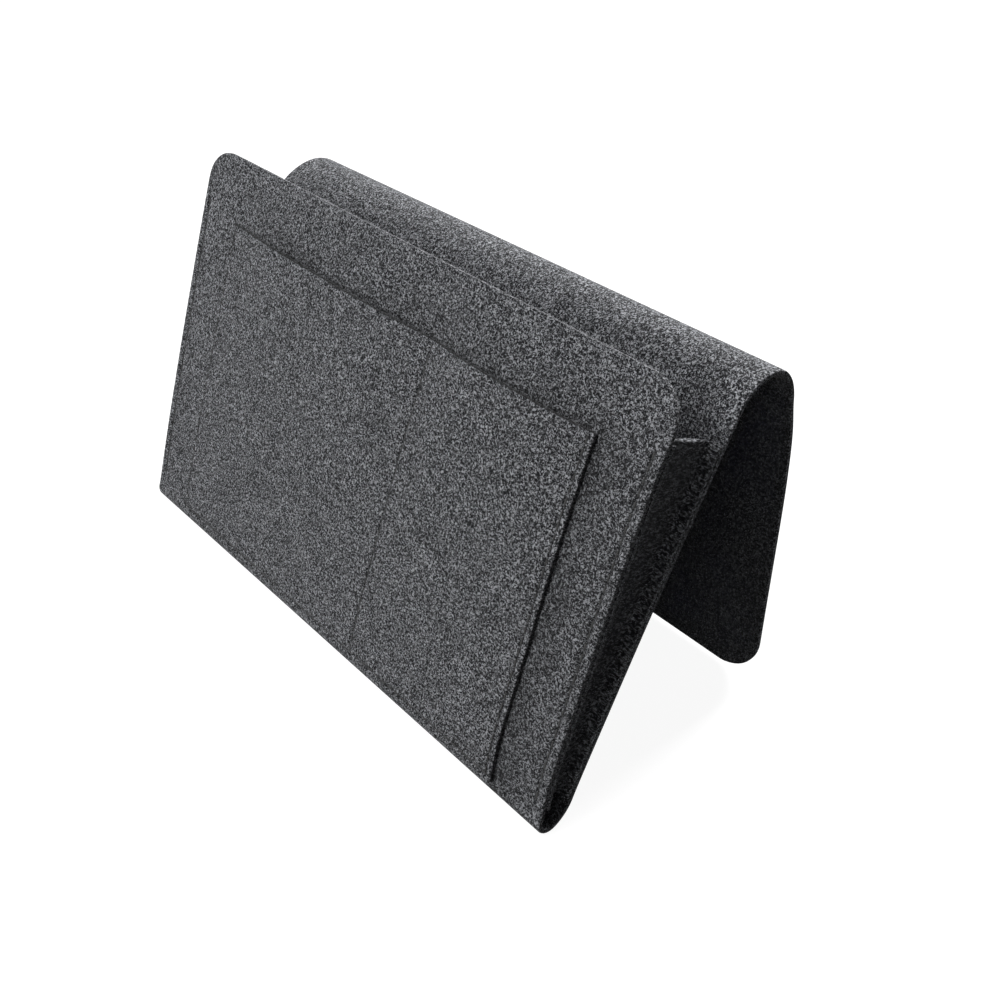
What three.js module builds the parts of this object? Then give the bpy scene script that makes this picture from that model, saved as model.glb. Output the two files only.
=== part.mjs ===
// Bedside caddy of thick felt. Millimetres, width along X, depth along Y, +Z up, front towards -Y.
// One long sheet makes the front panel, the fold it stands on, the back panel, the ridge and the flap.
// A gusset closes each end of the main pocket, and a patch sewn to the front makes two small pockets.
import * as THREE from 'three';

const degrees = Math.PI / 180;

// Long sheet: each lean is measured from upright, each bend radius to the middle of the felt
const sheetWidth = 320;
const feltThickness = 2.4;
const cornerRadius = 22;
const frontHeight = 189;
const frontLean = 21.8 * degrees;
const backHeight = 172;
const backLean = 28.9 * degrees;
const flapLean = 1.3 * degrees;
const foldTightRadius = 5.6;
const foldWideRadius = 20;
const foldChange = 25 * degrees; // slope of the felt where the tight bend opens into the wide one
const ridgeRadius = 16.6;
const seatGap = 0.3; // slit between felts that lie on each other, and between stretches of the sheet

// Gussets: a strip at each end, with a hem sewn to the front panel and one to the back panel
const gussetHeight = 164; // up the front panel from the fold
const gussetRise = 8; // start of the hems above the fold
const gussetWebRise = 6; // start of the web above the hems
const gussetInset = 5.6; // from the ends of the panels to the web
const gussetSeamInset = 4.6;

// Patch with two small pockets
const patchMargin = 30.5; // from the ends of the front panel to the patch
const patchHeight = 157;
const patchRise = 1; // above the fold
const narrowPocketWidth = 100; // from the divider seam to the right edge of the patch
const pocketRoom = 7; // from the front panel to the patch, at the mouth
const patchSeamInset = 3;
const seamFlat = 6; // width of patch that a seam holds flat, from the patch's edge
const bulgePower = 4; // how square the bulge of a pocket is from side to side
const risePower = 2.5; // how soon it fills above the bottom seam
const bulgeShares = [0.06, 0.16, 0.32, 0.5, 0.68, 0.84, 0.94];
const riseShares = [0.1, 0.25, 0.45, 0.7];

// Thread
const stitchPitch = 5;
const stitchWidth = 1;
const stitchHeight = 0.7;
const dipShare = 0.4; // of the thread's width and height that shows where it enters the felt

const arcSteps = 8; // flats in a quarter turn

const halfSheet = sheetWidth / 2;
const halfFelt = feltThickness / 2;

const felt = { color: 0x4b4c50, roughness: 0.97, metalness: 0 };
const feltInside = { color: 0x434448, roughness: 0.97, metalness: 0 };
const thread = { color: 0x2f3033, roughness: 0.8, metalness: 0 };

// Every outline below lies in the plane across the sheet: x there is depth, y is height
const point = (y, z) => new THREE.Vector2(y, z);
const along = (from, direction, distance) => from.clone().addScaledVector(direction, distance);
const heading = (angle) => point(Math.cos(angle), Math.sin(angle));
const rightOf = (direction) => point(direction.y, -direction.x);

// Middle line of the sheet, walked from the front panel to the flap
const upFront = heading(Math.PI / 2 - frontLean);
const upBack = heading(Math.PI / 2 - backLean);
const downFlap = heading(flapLean - Math.PI / 2);
const foldRadiusChange = foldTightRadius - foldWideRadius;
const tightCentre = point(0, foldTightRadius + halfFelt);
const wideCentre = along(tightCentre, rightOf(heading(foldChange)), foldRadiusChange);
const frontFoot = along(tightCentre, rightOf(upFront), -foldTightRadius);
const backFoot = along(wideCentre, rightOf(upBack), foldWideRadius);
const backTop = along(backFoot, upBack, backHeight);
const ridgeCentre = along(backTop, rightOf(upBack), ridgeRadius);
const flapTop = along(ridgeCentre, rightOf(downFlap), -ridgeRadius);
// The flap's lower edge stands level with the underside of the fold
const flapHeight = (flapTop.y - halfFelt * Math.sin(flapLean)) / Math.cos(flapLean);
const flapFoot = along(flapTop, downFlap, flapHeight);

// A panel's frame: x is across the width, y runs up the felt, z stands off it
function panelFrame(foot, up) {
    const across = new THREE.Vector3(1, 0, 0);
    const rise = new THREE.Vector3(0, up.x, up.y);
    const off = new THREE.Vector3().crossVectors(across, rise);
    return new THREE.Matrix4().makeBasis(across, rise, off).setPosition(0, foot.x, foot.y);
}

const frontFrame = panelFrame(frontFoot, upFront);
const backFrame = panelFrame(backFoot, upBack);
const flapFrame = panelFrame(flapFoot, downFlap.clone().negate());

function namedMesh(name, geometry, finish, frame) {
    const mesh = new THREE.Mesh(geometry, new THREE.MeshStandardMaterial(finish));
    mesh.name = name;
    if (frame) frame.decompose(mesh.position, mesh.quaternion, mesh.scale);
    return mesh;
}

function slab(shape, depth, start) {
    const settings = { depth, bevelEnabled: false, curveSegments: arcSteps };
    return new THREE.ExtrudeGeometry(shape, settings).translate(0, 0, start);
}

// Outline of a panel between two heights, with rounded corners at its free end
function panelShape(left, right, low, high, radiusLow, radiusHigh) {
    const shape = new THREE.Shape();
    const turn = Math.PI / 2;
    shape.moveTo(left + radiusLow, low).lineTo(right - radiusLow, low);
    if (radiusLow > 0) shape.absarc(right - radiusLow, low + radiusLow, radiusLow, -turn, 0);
    shape.lineTo(right, high - radiusHigh);
    if (radiusHigh > 0) shape.absarc(right - radiusHigh, high - radiusHigh, radiusHigh, 0, turn);
    shape.lineTo(left + radiusHigh, high);
    if (radiusHigh > 0) shape.absarc(left + radiusHigh, high - radiusHigh, radiusHigh, turn, 2 * turn);
    shape.lineTo(left, low + radiusLow);
    if (radiusLow > 0) shape.absarc(left + radiusLow, low + radiusLow, radiusLow, 2 * turn, 3 * turn);
    return shape;
}

// Points of a bend at one distance from its centre, between two directions seen from there
function bendPoints(centre, radius, from, to) {
    const steps = Math.ceil(Math.abs(to - from) / (Math.PI / 2) * arcSteps);
    const angles = Array.from({ length: steps + 1 }, (_, i) => from + (to - from) * i / steps);
    return angles.map((angle) => along(centre, heading(angle), radius));
}

// A bent stretch of the sheet, across the whole width
function bendGeometry(bends) {
    const side = (shift) => bends.flatMap(({ centre, radius, from, to }) =>
        bendPoints(centre, radius + shift, from, to));
    const outline = [...side(halfFelt), ...side(-halfFelt).reverse()];
    const settings = { depth: sheetWidth, bevelEnabled: false };
    return new THREE.ExtrudeGeometry(new THREE.Shape(outline), settings);
}

// Frame of an outline drawn across the sheet, starting at the given place along the width
function crossFrame(start) {
    const width = new THREE.Vector3(1, 0, 0);
    const depth = new THREE.Vector3(0, 1, 0);
    const height = new THREE.Vector3(0, 0, 1);
    return new THREE.Matrix4().makeBasis(depth, height, width).setPosition(start, 0, 0);
}

const caddy = new THREE.Group();

// The long sheet, stretch by stretch
function addSheet() {
    const sheetSlab = (low, high, radiusLow, radiusHigh) =>
        slab(panelShape(-halfSheet, halfSheet, low, high, radiusLow, radiusHigh), feltThickness, -halfFelt);
    const upAngle = (direction) => Math.atan2(direction.y, direction.x);
    const quarter = Math.PI / 2;
    const tightBend = {
        centre: tightCentre, radius: foldTightRadius,
        from: upAngle(upFront) - Math.PI - quarter, to: foldChange - quarter,
    };
    const wideBend = {
        centre: wideCentre, radius: foldWideRadius,
        from: foldChange - quarter, to: upAngle(upBack) - quarter,
    };
    const ridgeBend = {
        centre: ridgeCentre, radius: ridgeRadius,
        from: upAngle(upBack) + quarter, to: upAngle(downFlap) + quarter,
    };
    caddy.add(
        namedMesh('front_panel', sheetSlab(seatGap, frontHeight, 0, cornerRadius), felt, frontFrame),
        namedMesh('bottom_fold', bendGeometry([tightBend, wideBend]), felt, crossFrame(-halfSheet)),
        namedMesh('back_panel', sheetSlab(seatGap, backHeight - seatGap, 0, 0), feltInside, backFrame),
        namedMesh('ridge', bendGeometry([ridgeBend]), felt, crossFrame(-halfSheet)),
        namedMesh('flap', sheetSlab(0, flapHeight - seatGap, cornerRadius, 0), feltInside, flapFrame),
    );
}

// Where a line square to the back panel, through a point, meets the face line of a panel
function squareTo(start, foot, up) {
    const across = rightOf(upBack);
    const gap = foot.clone().sub(start);
    return along(start, across, gap.cross(up) / across.cross(up));
}

function addGussets() {
    // Lines on which the gusset meets the two panels
    const frontLine = along(frontFoot, rightOf(upFront), halfFelt + seatGap);
    const backLine = along(backFoot, rightOf(upBack), -halfFelt - seatGap);
    const topFront = along(frontLine, upFront, gussetHeight);
    const topBack = squareTo(topFront, backLine, upBack);
    const backHemTop = topBack.clone().sub(backLine).dot(upBack);
    const lowBack = along(backLine, upBack, gussetRise + gussetWebRise);
    const lowFront = squareTo(lowBack, frontLine, upFront);
    const web = slab(new THREE.Shape([lowFront, lowBack, topBack, topFront]), feltThickness, 0);
    const hemWidth = gussetInset - seatGap;

    for (const [side, sign] of [['left', -1], ['right', 1]]) {
        const edges = [sign * halfSheet, sign * (halfSheet - hemWidth)];
        const hem = (name, top, start, frame) => {
            const shape = panelShape(Math.min(...edges), Math.max(...edges), gussetRise, top, 0, 0);
            return namedMesh(`${side}_${name}`, slab(shape, feltThickness, start), feltInside, frame);
        };
        const webStart = sign * (halfSheet - gussetInset - halfFelt) - halfFelt;
        caddy.add(
            namedMesh(`${side}_gusset_web`, web.clone(), feltInside, crossFrame(webStart)),
            hem('gusset_front_hem', gussetHeight, -halfFelt - seatGap - feltThickness, frontFrame),
            hem('gusset_back_hem', backHemTop, halfFelt + seatGap, backFrame),
        );
    }
    return backHemTop;
}

// Closed solid between two faces given as grids of points, rows of the outer face seen anticlockwise
function quilted(outer, inner) {
    const [rows, columns] = [outer.length, outer[0].length];
    const grid = [...outer.flat(), ...inner.flat()];
    const at = (row, column, back) => (back ? rows * columns : 0) + row * columns + column;
    const index = [];
    const quad = (a, b, c, d) => index.push(a, b, c, a, c, d);
    for (let row = 0; row + 1 < rows; row++) {
        for (let column = 0; column + 1 < columns; column++) {
            for (const back of [false, true]) {
                const [a, b] = [at(row, column, back), at(row, column + 1, back)];
                const [c, d] = [at(row + 1, column + 1, back), at(row + 1, column, back)];
                if (back) quad(a, d, c, b);
                else quad(a, b, c, d);
            }
        }
    }
    const last = [rows - 1, columns - 1];
    const rim = [];
    for (let column = 0; column < last[1]; column++) rim.push([0, column]);
    for (let row = 0; row < last[0]; row++) rim.push([row, last[1]]);
    for (let column = last[1]; column > 0; column--) rim.push([last[0], column]);
    for (let row = last[0]; row > 0; row--) rim.push([row, 0]);
    rim.forEach((here, i) => {
        const next = rim[(i + 1) % rim.length];
        quad(at(...here, false), at(...here, true), at(...next, true), at(...next, false));
    });
    const geometry = new THREE.BufferGeometry().setFromPoints(grid);
    geometry.setIndex(index);
    return geometry;
}

const patchLeft = patchMargin - halfSheet;
const patchRight = halfSheet - patchMargin;
const dividerPlace = patchRight - narrowPocketWidth;
const patchBack = halfFelt + seatGap; // from the middle of the front panel to the back of the patch

function addPatch() {
    // Stretches across the patch: flat along each seam, bulged between them
    const halfFlat = seamFlat - patchSeamInset;
    const flats = [
        [patchLeft, patchLeft + seamFlat],
        [dividerPlace - halfFlat, dividerPlace + halfFlat],
        [patchRight - seamFlat, patchRight],
    ];
    const columns = [{ place: flats[0][0], bulge: 0 }];
    for (let pocket = 0; pocket + 1 < flats.length; pocket++) {
        const [start, end] = [flats[pocket][1], flats[pocket + 1][0]];
        columns.push({ place: start, bulge: 0 });
        for (const share of bulgeShares) {
            const bulge = 1 - Math.abs(2 * share - 1) ** bulgePower;
            columns.push({ place: start + (end - start) * share, bulge });
        }
        columns.push({ place: end, bulge: 0 });
    }
    columns.push({ place: flats.at(-1)[1], bulge: 0 });

    const rows = [{ place: 0, rise: 0 }, { place: seamFlat, rise: 0 }];
    for (const share of [...riseShares, 1]) {
        const rise = 1 - (1 - share) ** risePower;
        rows.push({ place: seamFlat + (patchHeight - seamFlat) * share, rise });
    }
    const face = (off) => rows.map((row) => columns.map((column) => new THREE.Vector3(
        column.place, patchRise + row.place, off + (pocketRoom - seatGap) * row.rise * column.bulge,
    )));
    const geometry = quilted(face(patchBack + feltThickness), face(patchBack));
    caddy.add(namedMesh('pocket_patch', geometry, felt, frontFrame));
}

// Thread along a straight seam, in a panel's frame, on the side of the felt that is given.
// It swells in the middle of each stitch and narrows where it dips into the felt.
function seamThread(name, frame, from, to, off) {
    const path = new THREE.Vector2().subVectors(to, from);
    const count = Math.ceil(path.length() / stitchPitch);
    const across = rightOf(path.clone().normalize());
    const side = Math.sign(off);
    const underside = off + side * seatGap;
    const corners = [[1, 0], [0, 1], [-1, 0], [0, -1]];
    const place = (share, width, height, [sideways, upwards]) => {
        const { x, y } = along(along(from, path, share), across, sideways * width / 2);
        return new THREE.Vector3(x, y, underside + side * (1 + upwards) * height / 2);
    };
    const ring = (share, width, height) => corners.map((corner) => place(share, width, height, corner));
    const rings = [];
    for (let i = 0; i < count; i++) {
        if (i > 0) rings.push(ring(i / count, stitchWidth * dipShare, stitchHeight * dipShare));
        rings.push(ring((i + 1 / 2) / count, stitchWidth, stitchHeight));
    }
    const points = [place(0, 0, 0, [0, 0]), ...rings.flat(), place(1, 0, 0, [0, 0])];
    const index = [];
    const triangle = (a, b, c) => (side > 0 ? index.push(a, b, c) : index.push(a, c, b));
    const at = (row, corner) => 1 + row * corners.length + corner % corners.length;
    corners.forEach((_, corner) => {
        triangle(0, at(0, corner), at(0, corner + 1));
        for (let row = 0; row + 1 < rings.length; row++) {
            triangle(at(row, corner), at(row + 1, corner), at(row + 1, corner + 1));
            triangle(at(row, corner), at(row + 1, corner + 1), at(row, corner + 1));
        }
        triangle(at(rings.length - 1, corner), points.length - 1, at(rings.length - 1, corner + 1));
    });
    const geometry = new THREE.BufferGeometry().setFromPoints(points);
    geometry.setIndex(index);
    caddy.add(namedMesh(name, geometry, thread, frame));
}

function addSeams(backHemTop) {
    const patchFace = patchBack + feltThickness;
    const low = patchRise + patchSeamInset;
    const high = patchRise + patchHeight;
    const [seamLeft, seamRight] = [patchLeft + patchSeamInset, patchRight - patchSeamInset];
    const upright = (name, place) =>
        seamThread(name, frontFrame, point(place, low + stitchPitch), point(place, high), patchFace);
    upright('patch_left_stitches', seamLeft);
    upright('patch_right_stitches', seamRight);
    upright('patch_divider_stitches', dividerPlace);
    seamThread('patch_bottom_stitches', frontFrame, point(seamLeft, low), point(seamRight, low), patchFace);

    for (const [side, sign] of [['left', -1], ['right', 1]]) {
        const place = sign * (halfSheet - gussetSeamInset);
        const seam = (name, frame, top, off) =>
            seamThread(`${side}_${name}`, frame, point(place, gussetRise), point(place, top), off);
        seam('front_stitches', frontFrame, gussetHeight, halfFelt);
        seam('back_stitches', backFrame, backHemTop, -halfFelt);
    }
}

addSheet();
const backHemTop = addGussets();
addPatch();
addSeams(backHemTop);

// The origin is at floor level, in the middle of the footprint
caddy.updateMatrixWorld(true);
const extent = new THREE.Box3().setFromObject(caddy, true);
caddy.position.set(0, -(extent.min.y + extent.max.y) / 2, -extent.min.z);

export default caddy;
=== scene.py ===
import math
import bpy
import numpy as np
from mathutils import Matrix, Vector


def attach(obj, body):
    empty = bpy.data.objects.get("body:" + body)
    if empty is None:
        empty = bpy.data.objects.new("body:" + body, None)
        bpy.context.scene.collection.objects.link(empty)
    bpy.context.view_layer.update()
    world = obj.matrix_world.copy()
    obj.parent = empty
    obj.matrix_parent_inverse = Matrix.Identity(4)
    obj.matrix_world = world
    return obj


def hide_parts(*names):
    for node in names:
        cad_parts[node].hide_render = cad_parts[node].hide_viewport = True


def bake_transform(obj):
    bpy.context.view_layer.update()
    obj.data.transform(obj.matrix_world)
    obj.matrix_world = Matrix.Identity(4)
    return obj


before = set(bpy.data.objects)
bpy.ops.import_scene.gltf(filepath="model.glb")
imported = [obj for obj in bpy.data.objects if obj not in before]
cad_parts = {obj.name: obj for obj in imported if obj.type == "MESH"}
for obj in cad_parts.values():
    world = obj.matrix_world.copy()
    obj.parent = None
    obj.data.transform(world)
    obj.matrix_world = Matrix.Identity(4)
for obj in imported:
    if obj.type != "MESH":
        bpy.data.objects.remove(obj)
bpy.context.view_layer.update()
mm = 0.001  # the sizes below are in millimetres, and become metres when a mesh is made

# ---- camera ----
cameraSizes = {
    "place": (388.7, -280.55, 401.8),
    "forward": (-0.6108, 0.5240, -0.5936),
    "up": (-0.4422, 0.3961, 0.8047),
    "lens": 43.49,
    "sensor": 36.0,
}
forward = Vector(cameraSizes["forward"]).normalized()
right = forward.cross(Vector(cameraSizes["up"])).normalized()
up = right.cross(forward)
turned = Matrix((right, up, -forward)).transposed().to_4x4()
turned.translation = Vector(cameraSizes["place"]) * mm
cameraData = bpy.data.cameras.new("camera")
cameraData.lens = cameraSizes["lens"]
cameraData.sensor_width = cameraSizes["sensor"]
cameraData.clip_start, cameraData.clip_end = 0.01, 50
camera = bpy.data.objects.new("camera", cameraData)
camera.matrix_world = turned
bpy.context.scene.collection.objects.link(camera)
bpy.context.scene.camera = camera
print("camera placed")


# ---- small helpers for node trees and meshes ----
def addNode(tree, kind, inputs=None, **settings):
    made = tree.nodes.new(kind)
    for name, value in settings.items():
        setattr(made, name, value)
    for at, value in (inputs or {}).items():
        if isinstance(value, bpy.types.NodeSocket):
            tree.links.new(value, made.inputs[at])
        else:
            made.inputs[at].default_value = value
    return made


def newTree(name, kind, takes, gives):
    tree = bpy.data.node_groups.new(name, kind)
    sides = (("INPUT", takes), ("OUTPUT", gives))
    for side, sockets in sides:
        for label, (what, value) in sockets.items():
            made = tree.interface.new_socket(label, in_out=side, socket_type="NodeSocket" + what)
            if value is not None:
                made.default_value = value
    return tree, tree.nodes.new("NodeGroupInput").outputs, tree.nodes.new("NodeGroupOutput").inputs


def setInput(modifier, label, value):
    for item in modifier.node_group.interface.items_tree:
        if item.item_type == "SOCKET" and item.in_out == "INPUT" and item.name == label:
            modifier[item.identifier] = value


def finishNodes(piece):
    # the node tree's result becomes the piece's own plain mesh
    bpy.context.view_layer.update()
    seen = piece.evaluated_get(bpy.context.evaluated_depsgraph_get())
    made = bpy.data.meshes.new_from_object(seen)
    made.name = piece.name
    piece.modifiers.clear()
    piece.data = made
    return piece


def smoothAbove(mesh, degrees):
    mesh.shade_smooth()
    mesh.set_sharp_from_angle(angle=math.radians(degrees))


def placeMesh(name, points, edges, faces, material=None):
    mesh = bpy.data.meshes.new(name)
    mesh.from_pydata((np.asarray(points, float) * mm).tolist(), edges, faces)
    if material:
        mesh.materials.append(material)
    piece = bpy.data.objects.new(name, mesh)
    bpy.context.scene.collection.objects.link(piece)
    return piece


def storeVectors(mesh, name, values):
    held = mesh.attributes.new(name, "FLOAT_VECTOR", "POINT")
    held.data.foreach_set("vector", np.asarray(values, np.float32).reshape(-1))


def storeNumbers(mesh, name, values):
    held = mesh.attributes.new(name, "FLOAT", "POINT")
    held.data.foreach_set("value", np.asarray(values, np.float32).reshape(-1))


def feltMesh(name, outer, inner, cutOuter, cutInner, press, material, innerShading=None):
    # two grids of points, one for each face of the felt, closed by a wall round their edges;
    # feltPoint is where each point lay in the flat cut; the other number stored for each point is painted
    # light and shade: above zero it darkens the colour as painted shade, below zero it pales it as painted
    # light
    rows, cols = outer.shape[:2]
    at = np.arange(rows * cols).reshape(rows, cols)
    quads = np.stack([at[:-1, :-1], at[1:, :-1], at[1:, 1:], at[:-1, 1:]], -1).reshape(-1, 4)
    loop = np.concatenate([at[:-1, 0], at[-1, :-1], at[:0:-1, -1], at[0, :0:-1]])
    ahead = np.roll(loop, -1)
    far = rows * cols
    walls = np.stack([ahead, loop, loop + far, ahead + far], -1)
    faces = np.concatenate([quads, quads[:, ::-1] + far, walls]).tolist()
    points = np.concatenate([outer.reshape(-1, 3), inner.reshape(-1, 3)])
    piece = placeMesh(name, points, [], faces, material)
    cut = np.concatenate([cutOuter.reshape(-1, 3), cutInner.reshape(-1, 3)]) * mm
    storeVectors(piece.data, "feltPoint", cut)
    behind = np.zeros(far) if innerShading is None else innerShading.reshape(-1)
    storeNumbers(piece.data, "press", np.concatenate([press.reshape(-1), behind]))
    return piece


def joined(*stretches):
    # marks along a line: each stretch is (from, to, step), and shared ends are kept once
    marks = []
    for start, stop, step in stretches:
        count = max(1, round(abs(stop - start) / step))
        marks += list(np.linspace(start, stop, count + 1))[1 if marks else 0:]
    return np.array(marks)


def smoothed(values, step, reach):
    if reach <= 0:
        return values
    side = int(4 * reach / step)
    weights = np.exp(-0.5 * (np.arange(-side, side + 1) * step / reach) ** 2)
    padded = np.pad(values, side, mode="edge")
    return np.convolve(padded, weights / weights.sum(), mode="valid")


def ease(values):
    held = np.clip(values, 0, 1)
    return held * held * (3 - 2 * held)


# ---- the felt's finish ----
feltFinish = {
    "grain": 1.25,  # tufts per millimetre
    "strand": 0.6,  # strand loops per millimetre
    "warp": 0.55,  # how far the fibres wander, in millimetres
    "dark": (0.006, 0.0062, 0.0074, 1),
    "light": (0.42, 0.43, 0.455, 1),
    "toGround": (0.445, 0.56),  # where the tufts turn from dark to the ground colour
    "toLight": (0.53, 0.63),  # and from there to light
    "strandWidth": 0.035,
    "strandShare": 0.5,
    "shortWidth": 0.05,
    "shortShare": 0.4,
    "gapShare": 0.75,
    "cloud": 0.17,  # the soft drift of the tone: its scale and its depth
    "cloudDepth": 0.14,
    "bump": 0.6,
    "bumpDepth": 0.0004,
    "specular": 0.15,
    "sheen": 0.06,
    "sheenRough": 0.6,
}
# where each pattern lies in the noise, so that no two are alike
noiseShifts = {"tufts": 3.1, "strands": 11.7, "shortStrands": 23.3, "shortPatches": 5.5, "gaps": 41.9}


def feltTree():
    takes = {
        "Point": ("Vector", None),
        "Press": ("Float", 0.0),
        "Stretch": ("Vector", (1, 1, 1)),
        "Grain": ("Float", feltFinish["grain"]),
        "Strand": ("Float", feltFinish["strand"]),
        "Warp": ("Float", feltFinish["warp"]),
        "Ground": ("Color", (0.08, 0.082, 0.088, 1)),
        "Dark": ("Color", feltFinish["dark"]),
        "Light": ("Color", feltFinish["light"]),
    }
    gives = {"Colour": ("Color", None), "Roughness": ("Float", None), "Height": ("Float", None)}
    tree, given, out = newTree("Heathered felt", "ShaderNodeTree", takes, gives)
    inMm = addNode(tree, "ShaderNodeVectorMath", {0: given["Point"], "Scale": 1000.0}, operation="SCALE")
    lying = addNode(
        tree, "ShaderNodeVectorMath", {0: inMm.outputs[0], 1: given["Stretch"]}, operation="MULTIPLY"
    ).outputs[0]
    drift = addNode(tree, "ShaderNodeTexNoise", {"Vector": lying, "Scale": 0.8, "Detail": 1.0})
    centred = addNode(
        tree,
        "ShaderNodeVectorMath",
        {0: drift.outputs["Color"], 1: (0.5, 0.5, 0.5)},
        operation="SUBTRACT",
    )
    pushed = addNode(
        tree, "ShaderNodeVectorMath", {0: centred.outputs[0], "Scale": given["Warp"]}, operation="SCALE"
    )
    # the noise strays by about a quarter from its middle, so it is spread four times
    spread = addNode(tree, "ShaderNodeVectorMath", {0: pushed.outputs[0], "Scale": 4.0}, operation="SCALE")
    wandering = addNode(
        tree, "ShaderNodeVectorMath", {0: lying, 1: spread.outputs[0]}, operation="ADD"
    ).outputs[0]

    def noise(shift, scale, detail, rough=0.6):
        moved = addNode(
            tree, "ShaderNodeVectorMath", {0: wandering, 1: (shift, 2 * shift, -shift)}, operation="ADD"
        )
        wide = {"Vector": moved.outputs[0], "Scale": scale, "Detail": detail, "Roughness": rough}
        return addNode(tree, "ShaderNodeTexNoise", wide).outputs[0]

    def between(value, low, high, to=(0.0, 1.0), kind="SMOOTHSTEP"):
        limits = {"Value": value, "From Min": low, "From Max": high, "To Min": to[0], "To Max": to[1]}
        return addNode(tree, "ShaderNodeMapRange", limits, interpolation_type=kind).outputs[0]

    def maths(kind, first, second=0.0):
        return addNode(tree, "ShaderNodeMath", {0: first, 1: second}, operation=kind).outputs[0]

    def strands(shift, scale, width):
        # a fibre lies wherever a soft noise passes its middle value
        off = maths("ABSOLUTE", maths("SUBTRACT", noise(shift, scale, 0.0), 0.5))
        return between(off, 0.0, width, (1.0, 0.0))

    def mixed(share, first, second):
        made = addNode(tree, "ShaderNodeMix", {0: share}, data_type="RGBA")
        for at, value in ((6, first), (7, second)):
            if isinstance(value, bpy.types.NodeSocket):
                tree.links.new(value, made.inputs[at])
            else:
                made.inputs[at].default_value = value
        return made.outputs[2]

    own, at = feltFinish, noiseShifts
    tufts = noise(at["tufts"], given["Grain"], 1.0, 0.5)
    paleStrands = maths(
        "MULTIPLY",
        strands(at["strands"], given["Strand"], own["strandWidth"]),
        between(tufts, 0.35, 0.6),
    )
    finer = maths("MULTIPLY", given["Strand"], 1.9)
    shortStrands = maths(
        "MULTIPLY",
        strands(at["shortStrands"], finer, own["shortWidth"]),
        between(noise(at["shortPatches"], 0.9, 0.0), 0.4, 0.6),
    )
    gapScale = maths("MULTIPLY", given["Grain"], 0.8)
    darkGaps = between(noise(at["gaps"], gapScale, 2.0, 0.8), 0.33, 0.5, (1.0, 0.0))
    tone = mixed(between(tufts, *own["toGround"]), given["Dark"], given["Ground"])
    tone = mixed(between(tufts, *own["toLight"]), tone, given["Light"])
    tone = mixed(maths("MULTIPLY", paleStrands, own["strandShare"]), tone, given["Light"])
    tone = mixed(maths("MULTIPLY", shortStrands, own["shortShare"]), tone, given["Light"])
    tone = mixed(maths("MULTIPLY", darkGaps, own["gapShare"]), tone, given["Dark"])
    cloudy = addNode(tree, "ShaderNodeTexNoise", {"Vector": lying, "Scale": own["cloud"], "Detail": 2.0})
    depths = (1 - own["cloudDepth"], 1 + own["cloudDepth"])
    shade = between(cloudy.outputs[0], 0.3, 0.7, depths, "LINEAR")
    # the painted shading darkens the colour above zero (painted shade) and pales it below zero (painted
    # light)
    shadingFactor = addNode(
        tree, "ShaderNodeMapRange", {"Value": given["Press"], "To Min": 1.0, "To Max": 0.5}, clamp=False
    )
    shade = maths("MULTIPLY", shade, shadingFactor.outputs[0])
    tinted = addNode(tree, "ShaderNodeVectorMath", {0: tone, "Scale": shade}, operation="SCALE")
    tree.links.new(tinted.outputs[0], out["Colour"])
    tree.links.new(between(tufts, 0.3, 0.7, (0.98, 0.86), "LINEAR"), out["Roughness"])
    raised = maths("ADD", maths("MULTIPLY", tufts, 0.8), maths("MULTIPLY", paleStrands, 0.25))
    raised = maths("ADD", raised, maths("MULTIPLY", shortStrands, 0.2))
    tree.links.new(maths("SUBTRACT", raised, maths("MULTIPLY", darkGaps, 0.3)), out["Height"])
    return tree


heather = feltTree()


def feltMaterial(name, ground, stretch=(1, 1, 1)):
    made = bpy.data.materials.new(name)
    made.use_nodes = True
    tree = made.node_tree
    shader = tree.nodes["Principled BSDF"]
    where = addNode(tree, "ShaderNodeAttribute", attribute_name="feltPoint")
    # reads the painted light and shade stored on the mesh
    press = addNode(tree, "ShaderNodeAttribute", attribute_name="press")
    felt = addNode(tree, "ShaderNodeGroup", node_tree=heather)
    tree.links.new(where.outputs["Vector"], felt.inputs["Point"])
    tree.links.new(press.outputs["Fac"], felt.inputs["Press"])
    felt.inputs["Stretch"].default_value = stretch
    felt.inputs["Ground"].default_value = (*ground, 1)
    bump = addNode(
        tree, "ShaderNodeBump", {"Strength": feltFinish["bump"], "Distance": feltFinish["bumpDepth"]}
    )
    tree.links.new(felt.outputs["Height"], bump.inputs["Height"])
    tree.links.new(felt.outputs["Colour"], shader.inputs["Base Color"])
    tree.links.new(felt.outputs["Roughness"], shader.inputs["Roughness"])
    tree.links.new(bump.outputs[0], shader.inputs["Normal"])
    shader.inputs["Specular IOR Level"].default_value = feltFinish["specular"]
    shader.inputs["Sheen Weight"].default_value = feltFinish["sheen"]
    shader.inputs["Sheen Roughness"].default_value = feltFinish["sheenRough"]
    return made


sheetFelt = feltMaterial("sheetFelt", (0.108, 0.11, 0.1185))
patchFelt = feltMaterial("patchFelt", (0.112, 0.114, 0.122))
gussetFelt = feltMaterial("gussetFelt", (0.1, 0.102, 0.109), (0.45, 1, 1))

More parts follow.
